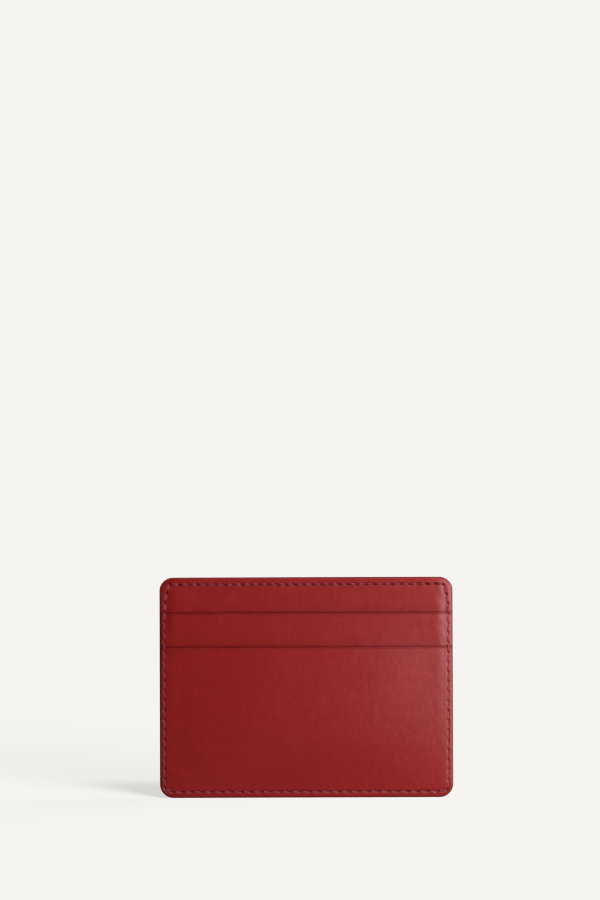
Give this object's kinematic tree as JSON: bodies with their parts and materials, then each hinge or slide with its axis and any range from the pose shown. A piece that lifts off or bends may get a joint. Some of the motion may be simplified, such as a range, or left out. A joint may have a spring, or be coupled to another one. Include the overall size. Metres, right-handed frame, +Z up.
{
  "type": "card holder",
  "caption": "Slim stitched leather card holder with stacked card pockets on both faces and a centre pocket.",
  "frame": {"origin": "middle of the bottom edge, on the surface that the holder stands on", "axes": "+X across the width to the right as seen from the front, the front face looks along -Y, +Z up towards the pocket mouths"},
  "size_m": [0.1016, 0.009, 0.0762],
  "materials": {
    "red_leather": "smooth satin",
    "lining_fabric": "fine twill",
    "sewing_thread": "waxed",
    "edge_paint": "satin"
  },
  "bodies": {
    "root": {"side_and_bottom_edge_paint": "edge_paint", "front_lining": "lining_fabric", "front_body_panel": "red_leather", "front_upper_pocket": "red_leather", "front_lower_pocket": "red_leather", "front_top_edge_paint": "edge_paint", "front_upper_pocket_mouth_paint": "edge_paint", "front_lower_pocket_mouth_paint": "edge_paint", "front_seam_thread": "sewing_thread", "front_top_edge_thread": "sewing_thread", "front_closing_thread": "sewing_thread", "front_top_edge_bobbin_thread": "sewing_thread", "front_closing_bobbin_thread": "sewing_thread", "back_lining": "lining_fabric", "back_body_panel": "red_leather", "back_upper_pocket": "red_leather", "back_lower_pocket": "red_leather", "back_top_edge_paint": "edge_paint", "back_upper_pocket_mouth_paint": "edge_paint", "back_lower_pocket_mouth_paint": "edge_paint", "back_seam_thread": "sewing_thread", "back_top_edge_thread": "sewing_thread", "back_closing_thread": "sewing_thread", "back_top_edge_bobbin_thread": "sewing_thread", "back_closing_bobbin_thread": "sewing_thread"}
  },
  "joints": []
}
